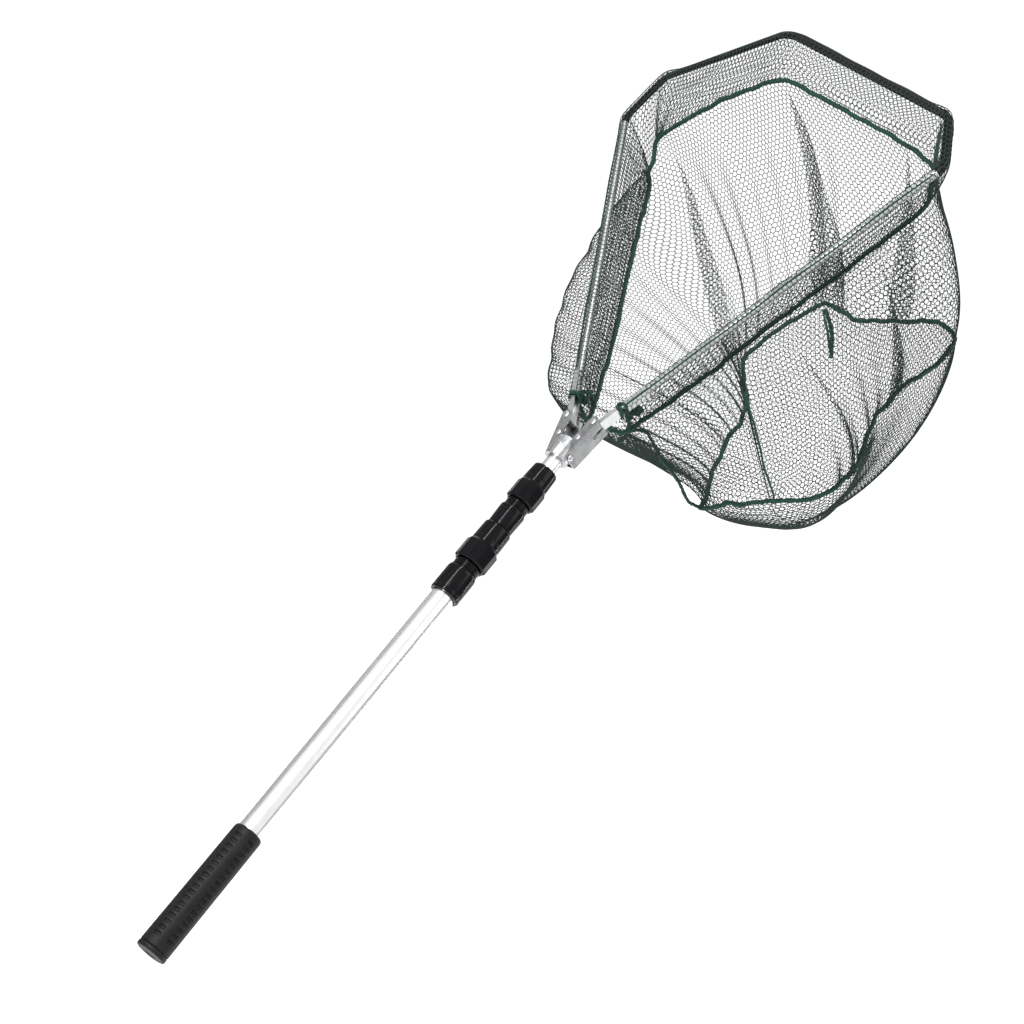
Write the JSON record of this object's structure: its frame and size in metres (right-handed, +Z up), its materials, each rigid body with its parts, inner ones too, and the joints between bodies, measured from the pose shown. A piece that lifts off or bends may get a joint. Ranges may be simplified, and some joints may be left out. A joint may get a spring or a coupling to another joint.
{
  "type": "landing net",
  "caption": "Landing net with a telescopic twist-lock handle, a folding triangular hoop of two metal arms and a flexible front bow, and a hanging mesh bag.",
  "frame": {"origin": "on the handle's axis at the middle of the rubber grip, where a hand holds it", "axes": "+Z up, the handle and the hoop rise towards +X in the XZ plane, the hoop is symmetric about Y = 0 with its right arm at -Y, and the bag hangs down"},
  "size_m": [0.886, 0.4493, 0.771],
  "materials": {
    "rubber": "matt moulded rubber",
    "aluminium": "satin drawn tube",
    "arm_metal": "satin drawn tube",
    "gloss_black": "gloss moulding",
    "nylon": "plain moulding",
    "bracket_metal": "pressed, tumbled",
    "steel": "plated",
    "bow": "semi-matt moulded strap",
    "net": "knotless mesh",
    "cord": "overlocked seam yarn"
  },
  "bodies": {
    "handle_outer": {"grip": "rubber", "butt_cap": "rubber", "outer_tube": "aluminium", "lower_ferrule": "gloss_black", "lower_collet": "nylon"},
    "lower_nut": {"lower_lock_nut": "gloss_black"},
    "handle_middle": {"middle_tube": "aluminium", "middle_tube_bush": "nylon", "upper_ferrule": "gloss_black", "upper_collet": "nylon"},
    "upper_nut": {"upper_lock_nut": "gloss_black"},
    "handle_inner": {"inner_tube": "aluminium", "inner_tube_bush": "nylon", "inner_tube_plug": "nylon", "head_bracket": "bracket_metal", "bracket_cross_pin": "steel", "right_pivot_rivet": "steel", "left_pivot_rivet": "steel", "right_channel_rivet": "steel", "left_channel_rivet": "steel", "right_channel_spacer": "steel", "left_channel_spacer": "steel", "net_left_rear": "net", "net_left_side": "net", "net_left_corner": "net", "net_front": "net", "net_right_corner": "net", "net_right_side": "net", "net_right_rear": "net", "net_base": "net", "net_hem": "net", "hem_seam_cord": "cord", "base_seam_cord": "cord"},
    "right_arm": {"right_arm_channel": "arm_metal", "right_arm_tube": "arm_metal", "right_arm_spigot": "steel", "right_bow_elbow": "bow"},
    "left_arm": {"left_arm_channel": "arm_metal", "left_arm_tube": "arm_metal", "left_arm_spigot": "steel", "left_bow_elbow": "bow"},
    "right_bow": {"right_front_bow": "bow"},
    "left_bow": {"left_front_bow": "bow"}
  },
  "joints": [
    {"name": "lower_lock_twist", "type": "hinge", "parent": "handle_outer", "child": "lower_nut", "pos_m": [0.35185, 0, 0.25237], "axis": [0.8126, 0, 0.5828], "range_deg": [0, 120]},
    {"name": "middle_slide", "type": "slide", "parent": "handle_outer", "child": "handle_middle", "axis": [0.8126, 0, 0.5828], "range_m": [0, 0.37]},
    {"name": "upper_lock_twist", "type": "hinge", "parent": "handle_middle", "child": "upper_nut", "pos_m": [0.4193, 0, 0.30074], "axis": [0.8126, 0, 0.5828], "range_deg": [0, 120]},
    {"name": "inner_slide", "type": "slide", "parent": "handle_middle", "child": "handle_inner", "axis": [0.8126, 0, 0.5828], "range_m": [0, 0.4]},
    {"name": "right_arm_fold", "type": "hinge", "parent": "handle_inner", "child": "right_arm", "pos_m": [0.49186, -0.019, 0.35279], "axis": [-0.6738, 0, 0.7389], "range_deg": [0, 23.1], "deforming": ["net_left_rear", "net_left_side", "net_left_corner", "net_front", "net_right_corner", "net_right_side", "net_right_rear", "net_base", "net_hem", "hem_seam_cord", "base_seam_cord", "right_front_bow", "left_front_bow"]},
    {"name": "left_arm_fold", "type": "hinge", "parent": "handle_inner", "child": "left_arm", "pos_m": [0.49186, 0.019, 0.35279], "axis": [0.6738, 0, -0.7389], "range_deg": [0, 23.1], "deforming": ["net_left_rear", "net_left_side", "net_left_corner", "net_front", "net_right_corner", "net_right_side", "net_right_rear", "net_base", "net_hem", "hem_seam_cord", "base_seam_cord", "right_front_bow", "left_front_bow"]},
    {"name": "right_bow_fold", "type": "hinge", "parent": "right_arm", "child": "right_bow", "pos_m": [0.804, -0.19284, 0.64785], "axis": [0.6738, 0, -0.7389], "range_deg": [0, 101.09], "deforming": ["net_left_rear", "net_left_side", "net_left_corner", "net_front", "net_right_corner", "net_right_side", "net_right_rear", "net_base", "net_hem", "hem_seam_cord", "base_seam_cord", "right_front_bow", "left_front_bow"]},
    {"name": "left_bow_fold", "type": "hinge", "parent": "left_arm", "child": "left_bow", "pos_m": [0.804, 0.19284, 0.64785], "axis": [-0.6738, 0, 0.7389], "range_deg": [0, 101.09], "deforming": ["net_left_rear", "net_left_side", "net_left_corner", "net_front", "net_right_corner", "net_right_side", "net_right_rear", "net_base", "net_hem", "hem_seam_cord", "base_seam_cord", "right_front_bow", "left_front_bow"]}
  ],
  "couplings": [
    {"joint": "left_arm_fold", "follows": "right_arm_fold", "ratio": 1},
    {"joint": "right_bow_fold", "follows": "right_arm_fold", "ratio": 4.3742},
    {"joint": "left_bow_fold", "follows": "right_arm_fold", "ratio": 4.3742}
  ]
}
